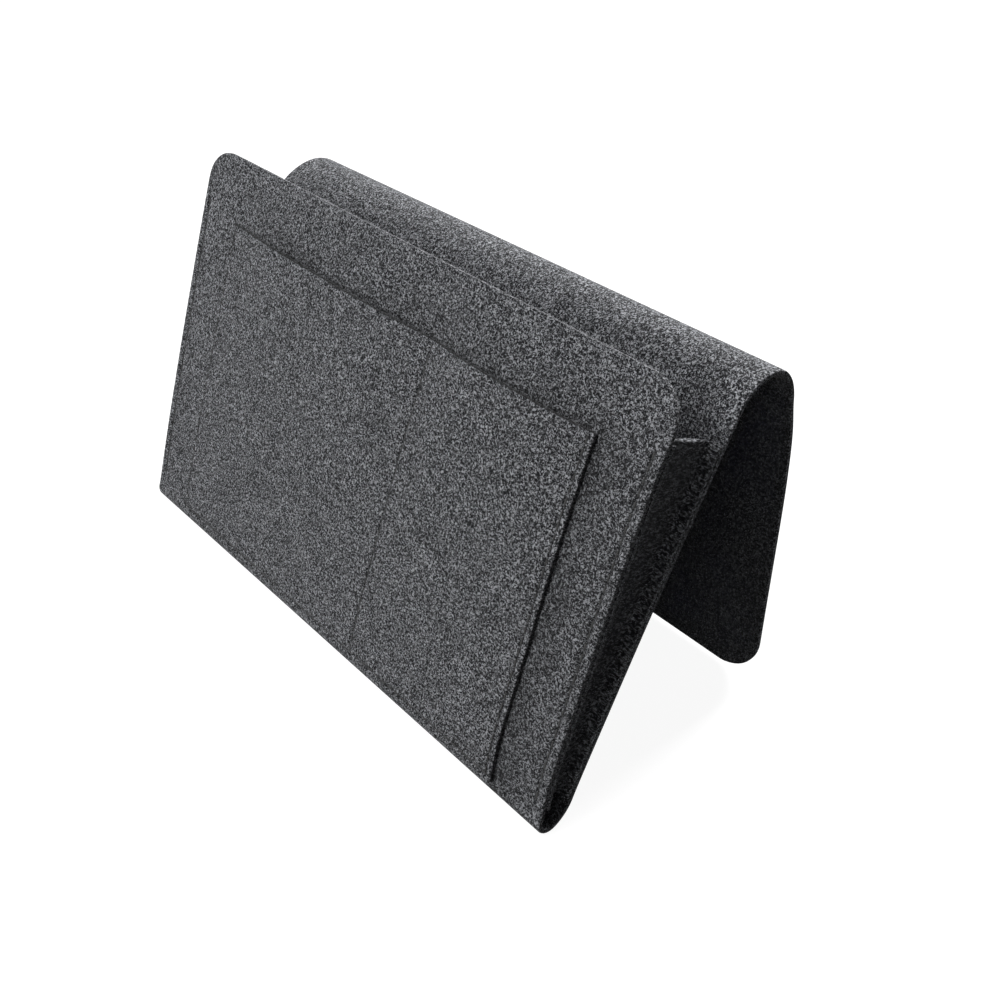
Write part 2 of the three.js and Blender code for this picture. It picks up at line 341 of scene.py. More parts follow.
threadFinish = {"twist": 2500.0, "dark": 0.02, "light": 0.07, "roughness": 0.75}
threadDark = bpy.data.materials.new("threadDark")
threadDark.use_nodes = True
threadTree = threadDark.node_tree
threadShader = threadTree.nodes["Principled BSDF"]
threadPlace = addNode(threadTree, "ShaderNodeTexCoord")
threadTwist = addNode(
    threadTree,
    "ShaderNodeTexNoise",
    {"Vector": threadPlace.outputs["Object"], "Scale": threadFinish["twist"], "Detail": 1.0},
)
threadTone = addNode(
    threadTree,
    "ShaderNodeMapRange",
    {
        "Value": threadTwist.outputs[0],
        "From Min": 0.3,
        "From Max": 0.7,
        "To Min": threadFinish["dark"],
        "To Max": threadFinish["light"],
    },
)
threadTree.links.new(threadTone.outputs[0], threadShader.inputs["Base Color"])
threadShader.inputs["Roughness"].default_value = threadFinish["roughness"]
print("finishes made")

# ---- the long sheet: its end paths ----
sheetSizes = {
    "width": 320.0,
    "thickness": 2.4,
    "frontCorner": 18.0,
    "flapCorner": 22.0,
    "front": 189.0,
    "frontLean": 21.8,
    "frontFoot": (-66.1501, 8.8797),
    "tightRadius": 5.6,
    "tightTurn": 136.8,
    "wideRadius": 20.0,
    "wideTurn": 36.1,
    "flapEnd": 582.5,
    "askew": 2.7,  # how much longer the flap hangs at its right end, the more the nearer to its foot
    "askewFrom": 480.0,
    "askewOver": 100.0,
    "split": 86.0,  # up the back panel to where the sheet's two meshes meet
    "cutRound": 0.35,
    "cutReach": 0.9,
    "cutHighlight": 0.8,  # how wide a strip along the cut edges, from the back panel on, gets a painted highlight where its fuzz catches light
}
endSizes = {
    "left": {"back": 163.5, "ridgeRadius": 24.0, "ridgeTurn": 153.2},
    "right": {"back": 172.0, "ridgeRadius": 16.6, "ridgeTurn": 149.8},
}
halfFelt = sheetSizes["thickness"] / 2
halfSheet = sheetSizes["width"] / 2
pathSizes = {
    "step": 0.5,
    "past": 4,  # how far the paths run on past both ends of the sheet
    "flap": 400,  # more than the flap's own length
    "smoothOut": 4,
    "smoothAlong": 8,
}
frontEnd = sheetSizes["front"]
foldLengths = [
    sheetSizes[which + "Radius"] * math.radians(sheetSizes[which + "Turn"]) for which in ("tight", "wide")
]
backStart = frontEnd + sum(foldLengths)
# how far the sheet's ends stray from their plain paths, as (length along the sheet, millimetres):
# out of the felt's face, inward across the sheet, and back towards the flap
strays = {
    "left": {
        "out": [
            (0, 0.2), (150, -0.1), (170, -0.4), (182, -0.7), (189, -0.8), (200, -0.2), (215, 0),
            (380, 0.3), (392, 1.4), (398, 1.5), (404, 0.9), (410, 0.2), (428, 0.1), (445, 0), (583, 0),
        ],
        "inward": [
            (0, 0), (20, 0.1), (56, 0.9), (83, 1.6), (110, 2.5), (138, 3.8), (167, 5.2), (189, 6.3),
            (215, 6.5), (370, 7), (440, 7), (583, 3),
        ],
        "back": [(0, 0), (215, 0), (300, 0.5), (370, 1.8), (400, 2.2), (440, 2.2), (500, 0.6), (583, 0)],
    },
    "right": {
        "out": [
            (0, 1.7), (12, 1.7), (35, 1.9), (52, 2.2), (69, 2.6), (87, 2.6), (106, 2.4), (126, 2),
            (146, 1.8), (160, 1.7), (170, 1.3), (180, 0.2), (188, -1), (195, -0.6), (202, 0.4),
            (209, 0.6), (217, 0.1), (235, 0), (380, -0.3), (388, -0.2), (394, -0.3), (400, -0.8),
            (406, -1.6), (411, -2.4), (415, -2.4), (420, -1.6), (426, -0.8), (431, -1), (437, -2.2),
            (443, -3.3), (450, -4), (460, -4.4), (475, -4.5), (490, -4), (512, -2.9), (534, -1.8),
            (558, -0.7), (583, 0.2),
        ],
        "inward": [
            (0, -1), (22, -1), (34, 0), (165, 0), (180, -0.2), (192, -0.9), (203, -0.7), (218, -0.1),
            (230, 0), (470, 0), (583, -1),
        ],
        "back": [
            (0, 0), (192, 0), (206, 1.2), (235, 1), (265, 0.3), (300, -0.3), (340, -0.4), (380, 0),
            (583, 0),
        ],
    },
}


def endPath(end):
    # the middle of the felt at one end of the sheet, walked from the front panel to the flap
    own, stray, step = endSizes[end], strays[end], pathSizes["step"]
    ridge = own["ridgeRadius"] * math.radians(own["ridgeTurn"])
    lengths = [frontEnd, *foldLengths, own["back"], ridge, pathSizes["flap"]]
    turns = [0, sheetSizes["tightTurn"], sheetSizes["wideTurn"], 0, -own["ridgeTurn"], 0]
    heading = -(90 + sheetSizes["frontLean"]) + np.concatenate([[0], np.cumsum(turns)])
    marks = np.concatenate([[0], np.cumsum(lengths)])
    s = np.arange(-pathSizes["past"], sheetSizes["flapEnd"] + pathSizes["past"], step)
    middle = np.radians(np.interp((s[1:] + s[:-1]) / 2, marks, heading))
    steps = np.stack([np.cos(middle), np.sin(middle)], -1) * step
    places = np.concatenate([np.zeros((1, 2)), np.cumsum(steps, 0)])
    foot = [np.interp(frontEnd, s, places[:, k]) for k in (0, 1)]
    places += np.array(sheetSizes["frontFoot"]) - np.array(foot)
    angle = np.radians(np.interp(s, marks, heading))
    out = smoothed(np.interp(s, *zip(*stray["out"])), step, pathSizes["smoothOut"])
    inward = smoothed(np.interp(s, *zip(*stray["inward"])), step, pathSizes["smoothAlong"])
    back = smoothed(np.interp(s, *zip(*stray["back"])), step, pathSizes["smoothAlong"])
    side = 1 if end == "left" else -1
    path = np.stack(
        [side * inward, places[:, 0] + np.sin(angle) * out + back, places[:, 1] - np.cos(angle) * out], -1
    )
    run = np.concatenate([[0], np.cumsum(np.linalg.norm(np.diff(path, axis=0), axis=1))])
    return path, run - np.interp(frontEnd, s, run) + frontEnd


endPaths = {end: endPath(end) for end in ("left", "right")}


def along(end, s):
    path, run = endPaths[end]
    return np.stack([np.interp(s, run, path[:, k]) for k in range(3)], -1)


def middlePoint(x, s):
    share = ((x + halfSheet) / sheetSizes["width"])[..., None]
    place = (1 - share) * along("left", s) + share * along("right", s)
    place[..., 0] += x
    return place


def sheetPoint(x, s, off):
    # the point at x across the sheet and s along it, off millimetres out from its middle;
    # out is towards the viewer on the front panel and towards the back panel on the flap
    x, s, off = np.broadcast_arrays(*(np.asarray(given, float) for given in (x, s, off)))
    down = middlePoint(x, s + 0.5) - middlePoint(x, s - 0.5)
    across = middlePoint(x + 0.5, s) - middlePoint(x - 0.5, s)
    normal = np.cross(down, across)
    normal /= np.linalg.norm(normal, axis=-1, keepdims=True)
    return middlePoint(x, s) + normal * off[..., None]


def pathCurve(end):
    path, run = endPaths[end]
    data = bpy.data.curves.new(end + "Path", "CURVE")
    data.dimensions = "3D"
    spline = data.splines.new("POLY")
    spline.points.add(len(path) - 1)
    flat = np.concatenate([path * mm, np.ones((len(path), 1))], 1)
    spline.points.foreach_set("co", flat.reshape(-1))
    made = bpy.data.objects.new(end + "Path", data)
    bpy.context.scene.collection.objects.link(made)
    return made, float(run[0]) * mm


def layTree():
    # lays a flat cut of felt (x across, y along, z through it) on the surface between the two end paths
    takes = {
        "Geometry": ("Geometry", None),
        "Left path": ("Object", None),
        "Right path": ("Object", None),
        "Left start": ("Float", 0.0),
        "Right start": ("Float", 0.0),
        "Half width": ("Float", 0.16),
        "Material": ("Material", None),
    }
    tree, given, out = newTree("Lay felt", "GeometryNodeTree", takes, {"Geometry": ("Geometry", None)})
    place = addNode(tree, "GeometryNodeInputPosition")
    parts = addNode(tree, "ShaderNodeSeparateXYZ", {0: place.outputs[0]}).outputs
    found = {}
    for end in ("Left", "Right"):
        curve = addNode(tree, "GeometryNodeObjectInfo", {"Object": given[end + " path"]})
        run = addNode(
            tree, "ShaderNodeMath", {0: parts[1], 1: given[end + " start"]}, operation="SUBTRACT"
        )
        sample = addNode(
            tree, "GeometryNodeSampleCurve", {"Curves": curve.outputs["Geometry"]}, mode="LENGTH"
        )
        tree.links.new(run.outputs[0], sample.inputs["Length"])
        found[end] = sample.outputs
    half = given["Half width"]
    minusHalf = addNode(tree, "ShaderNodeMath", {0: half, 1: -1.0}, operation="MULTIPLY").outputs[0]
    share = addNode(
        tree,
        "ShaderNodeMapRange",
        {"Value": parts[0], "From Min": minusHalf, "From Max": half},
        clamp=False,
    ).outputs[0]
    blended = {}
    for label in ("Position", "Tangent"):
        blend = addNode(tree, "ShaderNodeMix", {0: share}, data_type="VECTOR", clamp_factor=False)
        tree.links.new(found["Left"][label], blend.inputs[4])
        tree.links.new(found["Right"][label], blend.inputs[5])
        blended[label] = blend.outputs[1]
    normal = addNode(
        tree, "ShaderNodeVectorMath", {0: blended["Tangent"], 1: (1, 0, 0)}, operation="CROSS_PRODUCT"
    )
    unit = addNode(tree, "ShaderNodeVectorMath", {0: normal.outputs[0]}, operation="NORMALIZE")
    lift = addNode(
        tree, "ShaderNodeVectorMath", {0: unit.outputs[0], "Scale": parts[2]}, operation="SCALE"
    )
    sideways = addNode(tree, "ShaderNodeCombineXYZ", {0: parts[0]})
    middle = addNode(
        tree, "ShaderNodeVectorMath", {0: blended["Position"], 1: sideways.outputs[0]}, operation="ADD"
    )
    final = addNode(
        tree, "ShaderNodeVectorMath", {0: middle.outputs[0], 1: lift.outputs[0]}, operation="ADD"
    )
    laid = addNode(
        tree, "GeometryNodeSetPosition", {"Geometry": given["Geometry"], "Position": final.outputs[0]}
    )
    plain = addNode(tree, "GeometryNodeRealizeInstances", {"Geometry": laid.outputs[0]})
    dressed = addNode(
        tree, "GeometryNodeSetMaterial", {"Geometry": plain.outputs[0], "Material": given["Material"]}
    )
    tree.links.new(dressed.outputs[0], out["Geometry"])
    return tree


layFelt = layTree()
pathObjects = {end: pathCurve(end) for end in ("left", "right")}


def layPiece(piece, material):
    modifier = piece.modifiers.new("layFelt", "NODES")
    modifier.node_group = layFelt
    for end in ("left", "right"):
        made, start = pathObjects[end]
        setInput(modifier, end.capitalize() + " path", made)
        setInput(modifier, end.capitalize() + " start", start)
    setInput(modifier, "Half width", halfSheet * mm)
    setInput(modifier, "Material", material)
    finishNodes(piece)
    smoothAbove(piece.data, 50)
    return piece


# ---- seams ----
seamSizes = {
    "inset": 4.6,  # gusset seams, from the sheet's end
    "frontFrom": 9.0,
    "frontTo": 162.0,
    "backFrom": 7.5,
    "backTo": 153.0,
    "pitch": 5.0,
    "groove": 0.6,
    "grooveReach": 0.9,
    "puff": 0.35,
}
# the felt beside a seam: it swells between the stitches on one side, and lifts evenly on the other
puckers = {"swellAt": 2.6, "swellWide": 1.3, "liftAt": 3.0, "liftWide": 1.6, "lift": 0.35}


def seamRelief(across, run, first, last, outside, own):
    # across is the distance from the seam and run the place along it; outside is +1 or -1, for the
    # side that swells; besides the relief it gives painted shade along the seam's groove
    inSeam = ease((run - first + 2) / 3) * ease((last - run + 2) / 3)
    beat = np.cos(2 * np.pi * (run - first) / seamSizes["pitch"])
    groove = np.exp(-((across / own["grooveReach"]) ** 2))
    dip = -own["groove"] * groove * (0.85 + 0.3 * beat)
    swell = np.exp(-(((across * outside - puckers["swellAt"]) / puckers["swellWide"]) ** 2))
    swell = swell * (0.65 - 0.5 * beat)
    lift = np.exp(-(((across * outside + puckers["liftAt"]) / puckers["liftWide"]) ** 2))
    lift = puckers["lift"] * lift
    return (dip + own["puff"] * (swell + lift)) * inSeam, groove * inSeam


def sheetRelief(x, s):
    fromFoot, upBack = frontEnd - s, s - backStart
    across = np.abs(x) - (halfSheet - seamSizes["inset"])
    own = seamSizes
    frontDip, frontGrooveShade = seamRelief(across, fromFoot, own["frontFrom"], own["frontTo"], 1, own)
    backDip, backGrooveShade = seamRelief(across, upBack, own["backFrom"], own["backTo"], 1, own)
    return frontDip + backDip, frontGrooveShade + backGrooveShade


# ---- the front patch: its sizes and how it bulges ----
patchSizes = {
    "left": -129.5,
    "right": 129.5,
    "rise": 1.0,
    "height": 157.0,
    "divider": 29.5,
    "inset": 3.0,
    "footInset": 3.0,
    "seamTop": 1.0,  # how far below the patch's upper edge the seams' grooves end,
    "threadTop": 3.0,  # and how far below it their thread ends
    "gap": 0.06,  # between the patch and the front panel where it is sewn down
    "bow": 2.6,  # how far the front panel bows out with each small pocket at its mouth
    "bowFrom": 5.0,
    "bowOver": 30.0,
    "room": 0.9,  # how far each small pocket stands open there
    "groove": 0.45,
    "grooveReach": 0.65,
    "puff": 0.12,
    "sunk": 0.35,  # how much the right edge is sunk flat
    "cutShade": {"flank": 1.2, "mouthOut": 1.6, "mouthIn": 0.55},  # painted shade on its cut edges: the right flank, and the dark gap along its mouth
    "cutWide": 0.12,
}
# how far the patch's left edge, divider and right edge are sewn off their plain lines: (mouth, foot)
patchStrays = {"left": (2.8, 0.0), "divider": (4.1, -0.8), "right": (0.0, 1.1)}


def patchPockets():
    inset = patchSizes["inset"]
    return (
        (patchSizes["left"] + inset, patchSizes["divider"]),
        (patchSizes["divider"], patchSizes["right"] - inset),
    )


def upPatch(s):
    # 0 at the patch's foot and 1 at its upper edge
    return np.clip((frontEnd - s - patchSizes["rise"]) / patchSizes["height"], 0, 1)


def patchShift(x, s):
    up = upPatch(s)
    own = [foot + (mouth - foot) * up for mouth, foot in patchStrays.values()]
    left, middle, right = patchSizes["left"], patchSizes["divider"], patchSizes["right"]
    leftward = np.clip((x - left) / (middle - left), 0, 1)
    rightward = np.clip((x - middle) / (right - middle), 0, 1)
    leftSide = own[0] + (own[1] - own[0]) * leftward
    rightSide = own[1] + (own[2] - own[1]) * rightward
    return np.where(x < middle, leftSide, rightSide)


def pocketShape(x):
    total = np.zeros(np.shape(x))
    for low, high in patchPockets():
        v = np.clip((x - low) / (high - low) * 2 - 1, -1, 1)
        total += (1 - v**4) ** 2
    return total


def panelBow(x, s):
    # the front panel bows out with the pockets, most at the patch's upper edge
    own = patchSizes
    return own["bow"] * pocketShape(x) * upPatch(s) ** 2 * ease((s - own["bowFrom"]) / own["bowOver"])


def patchBulge(x, s):
    return panelBow(x, s) + patchSizes["room"] * pocketShape(x) * upPatch(s) ** 2


# painted shade: the felt is made darker above the patch and right of it, a soft painted shadow from the
# patch; each side fades out over its reach, and the patch hides the strip under it
shadeAroundPatch = {
    "above": 0.9,
    "aboveReach": 8.0,
    "beside": 1.05,
    "besideReach": 13.0,
    "besideFrom": 18.0,
    "besideOver": 16.0,
    "fadeLeft": 30.0,
    "fadeRight": 8.0,
    "hidden": 3.0,
}


def shadeBesidePatch(x, s):
    own, left, right = shadeAroundPatch, patchSizes["left"], patchSizes["right"]
    above = frontEnd - patchSizes["rise"] - patchSizes["height"] - s
    beyond = x - right - patchShift(x, s)
    within = ease((x - left) / own["fadeLeft"]) * ease((right - x) / own["fadeRight"] + 1)
    upper = own["above"] * within * np.exp(-np.clip(above, 0, 99) / own["aboveReach"])
    beside = own["beside"] * np.exp(-np.clip(beyond, 0, 99) / own["besideReach"])
    beside = beside * ease((s - own["besideFrom"]) / own["besideOver"])
    return np.maximum(upper * (above > -own["hidden"]), beside * (beyond > -own["hidden"]))


def cutTrim(distance):
    # how far a face draws in near a cut edge, whose corners are a little rounded
    return sheetSizes["cutRound"] * np.clip(1 - distance / sheetSizes["cutReach"], 0, 1) ** 2


# ---- the long sheet ----
cornerCurl = {"left": 0.5, "wide": 22.0, "deep": 17.0, "over": 10.0}
# painted light: the felt is made paler at the right end of the back panel, below the ridge, a painted pool
# of light
rightEndLight = {
    "pale": 1.2,
    "from": 142.0,
    "wide": 16.0,
    "low": 345.0,
    "lowOver": 20.0,
    "high": 405.0,
    "highOver": 11.0,
}


def endColumns(dense):
    # places across the sheet from -1 to 1, close together at its edges and gusset seams
    edge = [0, 0.12, 0.35, 0.7, 1.1, 1.8, 2.5, 3.1, 3.7, 4.1, 4.6, 5.1, 5.5, 6.1, 7, 8.2, 10, 13, 17, 22]
    inner = list(np.linspace(22, halfSheet, dense + 1)[1:])
    distance = np.array(edge + inner)
    half = 1 - distance / halfSheet
    return np.concatenate([-half, half[-2::-1]])


def layLongSheet(name, rowMarks, rounded):
    # rounded says which end of the piece is a free cut end with round corners: first or last
    u = endColumns(36)
    s = rowMarks
    corner = sheetSizes["frontCorner" if rounded == "first" else "flapCorner"]
    fromEnd = s - s[0] if rounded == "first" else s[-1] - s
    inCorner = np.clip(corner - fromEnd, 0, corner)
    half = halfSheet - corner + np.sqrt(corner**2 - inCorner**2)
    x = u[None, :] * half[:, None]
    s = np.broadcast_to(s[:, None], x.shape)
    if rounded == "last":
        towardsFoot = ease((s - sheetSizes["askewFrom"]) / sheetSizes["askewOver"])
        s = s + sheetSizes["askew"] * (x / halfSheet / 2 + 0.5) ** 2 * towardsFoot
    relief, press = sheetRelief(x, s)
    trim = cutTrim(np.minimum(half[:, None] - np.abs(x), fromEnd[:, None]))
    fromCorner = (x + halfSheet) / cornerCurl["wide"]
    curl = cornerCurl["left"] * np.exp(-(fromCorner**2))
    curl = curl * ease((cornerCurl["deep"] - s) / cornerCurl["over"])
    if rounded == "first":
        curl = curl + panelBow(x, s)
        # painted shade above the patch and right of it
        press = press + shadeBesidePatch(x, s)
    # a painted highlight along the cut edges from the back panel on, on both faces
    pale = -np.clip(1 - (half[:, None] - np.abs(x)) / sheetSizes["cutHighlight"], 0, 1)
    pale = pale * ease((s - backStart) / 10)
    own = rightEndLight
    # painted light at the right end of the back panel, below the ridge
    paintedLight = -own["pale"] * ease((x - own["from"]) / own["wide"])
    paintedLight = paintedLight * ease((s - own["low"]) / own["lowOver"]) * ease((own["high"] - s) / own["highOver"])
    pale = pale + paintedLight
    outer = np.stack([x, s, curl + halfFelt - trim + relief], -1)
    inner = np.stack([x, s, curl + trim - halfFelt], -1)
    piece = feltMesh(name, outer, inner, outer, inner, press + pale, sheetFelt, pale)
    return layPiece(piece, sheetFelt)


splitAt = backStart + sheetSizes["split"]
cornerRows = 1 - np.cos(np.radians(np.arange(0, 91, 7.5)))
frontCorner, flapCorner = sheetSizes["frontCorner"], sheetSizes["flapCorner"]
lowerRows = np.concatenate([frontCorner * cornerRows, joined((frontCorner, splitAt, 1.0))[1:]])
flapEnd, belowRidge = sheetSizes["flapEnd"], backStart + 160
upperRows = np.concatenate(
    [
        joined((splitAt, belowRidge, 1.0), (belowRidge, flapEnd - flapCorner, 1.6)),
        flapEnd - flapCorner * cornerRows[-2::-1],
    ]
)
lowerSheet = layLongSheet("lowerSheet", lowerRows, "first")
upperSheet = layLongSheet("upperSheet", upperRows, "last")
print("long sheet laid:", len(lowerSheet.data.polygons), len(upperSheet.data.polygons), "faces")


# ---- the front patch ----
def patchRelief(x, s):
    fromFoot = frontEnd - s
    foot = patchSizes["rise"] + patchSizes["footInset"]
    top = patchSizes["rise"] + patchSizes["height"] - patchSizes["seamTop"]
    inset = patchSizes["inset"]
    dips, grooveShades = [], []
    for seamX, outside, depth in (
        (patchSizes["left"] + inset, -1, 0.3),
        (patchSizes["right"] - inset, 1, 1.0),
        (patchSizes["divider"], 1, 1.15),
    ):
        dip, press = seamRelief(x - seamX, fromFoot, foot, top, outside, patchSizes)
        dips.append(dip * depth)
        grooveShades.append(press * depth)
    dip, press = seamRelief(
        fromFoot - foot, x, patchSizes["left"] + inset, patchSizes["right"] - inset, -1, patchSizes
    )
    # where seams meet, the felt is drawn in half way between the deeper one and both together
    dips, grooveShades = [*dips, dip], [*grooveShades, press]
    # the relief, and the painted shade of the seam grooves at its darkest where they meet
    return np.minimum.reduce(dips) * 0.5 + sum(dips) * 0.5, np.maximum.reduce(grooveShades)


def makePatch():
    # columns and rows stand close together at the edges and seams
    seamGap = [0, 0.12, 0.35, 0.7, 1.1, 1.6, 2.1, 2.45, 2.75, 3.0, 3.25, 3.55, 3.9, 4.5, 5.3, 6.4, 8, 10]
    left, right, divider = patchSizes["left"], patchSizes["right"], patchSizes["divider"]
    near = [-6, -4.2, -3, -2.1, -1.4, -0.9, -0.6, -0.3, 0, 0.3, 0.6, 0.9, 1.4, 2.1, 3, 4.2, 6]
    x = np.concatenate(
        [
            left + np.array(seamGap),
            joined((left + 10, divider - 6, 4.0))[1:-1],
            divider + np.array(near),
            joined((divider + 6, right - 10, 4.0))[1:-1],
            right - np.array(seamGap[::-1]),
        ]
    )
    top = frontEnd - patchSizes["rise"] - patchSizes["height"]
    foot = frontEnd - patchSizes["rise"]
    fromTop = np.array([0, 0.12, 0.35, 0.7, 1.1])
    fromFoot = np.array(seamGap[14::-1])
    s = np.concatenate([top + fromTop, joined((top + 2, foot - 7, 1.0)), foot - fromFoot])
    x, s = np.meshgrid(x, s)
    relief, press = patchRelief(x, s)
    trim = cutTrim(np.minimum(np.minimum(x - left, right - x), foot - s))
    relief = relief - patchSizes["sunk"] * ease((x - right + 4.5) / 3)
    shade = patchSizes["cutShade"]
    mouth = np.clip(1 - (s - top) / patchSizes["cutWide"], 0, 1)
    flank = shade["flank"] * np.clip(1 - (right - x) / patchSizes["cutWide"], 0, 1)
    rest = 2 * halfFelt + patchSizes["gap"] + patchBulge(x, s)
    x = x + patchShift(x, s)
    outer = np.stack([x, s, rest + halfFelt - trim + relief], -1)
    inner = np.stack([x, s, rest - halfFelt + trim], -1)
    shift = np.array([400, 0, 0])  # the patch is cut from another place of the felt
    cut = (outer + shift, inner + shift)
    # painted shade on the right flank and along the mouth, stronger on the outer face
    outerPatchShading = press + np.maximum(flank, shade["mouthOut"] * mouth)
    innerPatchShading = press + np.maximum(flank, shade["mouthIn"] * mouth)
    piece = feltMesh("frontPatch", outer, inner, *cut, outerPatchShading, patchFelt, innerPatchShading)
    return layPiece(piece, patchFelt)


frontPatch = makePatch()
print("front patch laid:", len(frontPatch.data.polygons), "faces")

# ---- the gussets ----
gussetSizes = {
    "length": 156.0,
    "hemFoot": 6.0,
    "webFoot": 7.0,
    "backFoot": 0.5,
    "frontTop": 167.0,
    "backTop": 158.0,
    "webPlace": 153.2,
    "frontBend": 1.5,
    "backBend": 2.6,
    "bow": 1.2,
    "gap": 0.05,  # between a hem and the panel that it is sewn to
    "cutWide": 0.8,
    "endWide": 0.5,
}
# painted light and shade on each part: above zero is painted shade (the web, the front of the cut ends),
# below zero is painted light (cut edges, back hem, back of the cut ends)
gussetShading = {"sides": -1.2, "backHem": -1.1, "web": 0.9, "end": 0.4, "endBack": -2.4}


def makeGusset(name, side):
    own, tone = gussetSizes, gussetShading
    long, nearCut = own["length"], np.array([0, 0.12, 0.35, 0.7])
    rows = np.concatenate([nearCut, joined((1.1, long - 1.1, 1.5)), long - nearCut[::-1]]) / long
    hemEnds = np.array([0, 0.12, 0.35, 0.7, 1.1, 2, 3.2, 5.3])  # inwards from the sheet's end
    angles = np.radians(np.arange(15, 90, 15))
    # each column: the panel that it follows, its place along x, and its steps off that panel or across
    cols = {"front": [], "web": [("web", own["webPlace"], w) for w in np.linspace(0, 1, 17)], "back": []}
    for where in ("front", "back"):
        bend = own[where + "Bend"]
        room = halfSheet - own["webPlace"] - bend
        cols[where] = [(where, halfSheet - h * min(1, room / hemEnds[-1]), 0.0) for h in hemEnds]
        cols[where] += [
            (where, own["webPlace"] + bend * (1 - math.sin(a)), bend * (1 - math.cos(a))) for a in angles
        ]
    cols = cols["front"] + cols["web"] + cols["back"][::-1]
    middle = np.zeros((len(rows), len(cols), 3))
    cut = np.zeros((len(rows), len(cols), 3))
    widthRun = 0.0
    for c, (where, x, value) in enumerate(cols):
        inWeb = 1.0 if where == "web" else min(1.0, value / own[where + "Bend"])
        foot = own["hemFoot"] + (own["webFoot"] - own["hemFoot"]) * float(ease(np.array(inWeb)))
        frontUp = foot + (own["frontTop"] - foot) * rows
        backUp = own["backFoot"] + (own["backTop"] - own["backFoot"]) * rows
        lift = -(2 * halfFelt + own["gap"])
        front = sheetPoint(side * x, frontEnd - frontUp, lift)
        back = sheetPoint(side * x, backStart + backUp, lift)
        span = np.linalg.norm(back - front, axis=-1, keepdims=True)
        way = (back - front) / span
        if where == "front":
            middle[:, c] = front + way * value
        elif where == "back":
            middle[:, c] = back - way * value
        else:
            reach = own["frontBend"] + (span - own["frontBend"] - own["backBend"]) * value
            middle[:, c] = front + way * reach
            bow = own["bow"] * math.sin(math.pi * value) * np.sin(np.pi * rows) ** 0.7
            middle[:, c, 0] -= side * bow
        if c:
            widthRun += float(np.linalg.norm(middle[-1, c] - middle[-1, c - 1]))
        cut[:, c, 0] = widthRun
        cut[:, c, 1] = frontUp
    normal = np.cross(np.gradient(middle, axis=0), np.gradient(middle, axis=1))
    normal /= np.linalg.norm(normal, axis=-1, keepdims=True)
    run = cut[-1, :, 0]
    fromSide = np.minimum(run, run[-1] - run)[None, :]
    fromEnd = (np.minimum(rows, 1 - rows) * long)[:, None]
    off = (halfFelt - cutTrim(np.minimum(fromSide, fromEnd)))[..., None]
    inWeb = np.array([value if where == "web" else float(where == "back") for where, _, value in cols])
    onWeb = np.array([(1 - value) ** 2 if where == "web" else 0.0 for where, _, value in cols])
    onBack = np.array([1 - value / own["backBend"] if where == "back" else 0.0 for where, _, value in cols])
    # painted shade at the front of the gusset's cut ends and painted light at their back
    end = tone["end"] + (tone["endBack"] - tone["end"]) * inWeb
    press = tone["sides"] * np.clip(1 - fromSide / own["cutWide"], 0, 1)
    press = press + end * np.clip(1 - fromEnd / own["endWide"], 0, 1)
    press = press + tone["backHem"] * onBack + tone["web"] * onWeb
    cut[..., 0] += 800 + side * 100  # each gusset is cut from its own place of the felt
    through = np.array([0, 0, 1.0])
    layers = (middle + normal * off, middle - normal * off, cut + through * off, cut - through * off)
    piece = feltMesh(name, *layers, press, gussetFelt, press)
    smoothAbove(piece.data, 50)
    steps = np.linalg.norm(np.diff(middle, axis=1), axis=-1).sum(1)
    area = float(np.sum((steps[1:] + steps[:-1]) / 2 * np.diff(rows))) * long * mm * mm
    return piece, (float(steps[-1]) * mm, area)


leftGusset, leftCut = makeGusset("leftGusset", -1)
rightGusset, rightCut = makeGusset("rightGusset", 1)
print("gussets made, flat width and area:", leftCut, rightCut)

# ---- stitches ----
stitchSizes = {"length": 3.9, "width": 0.8, "height": 0.6, "sink": 0.12, "jitter": 0.12}


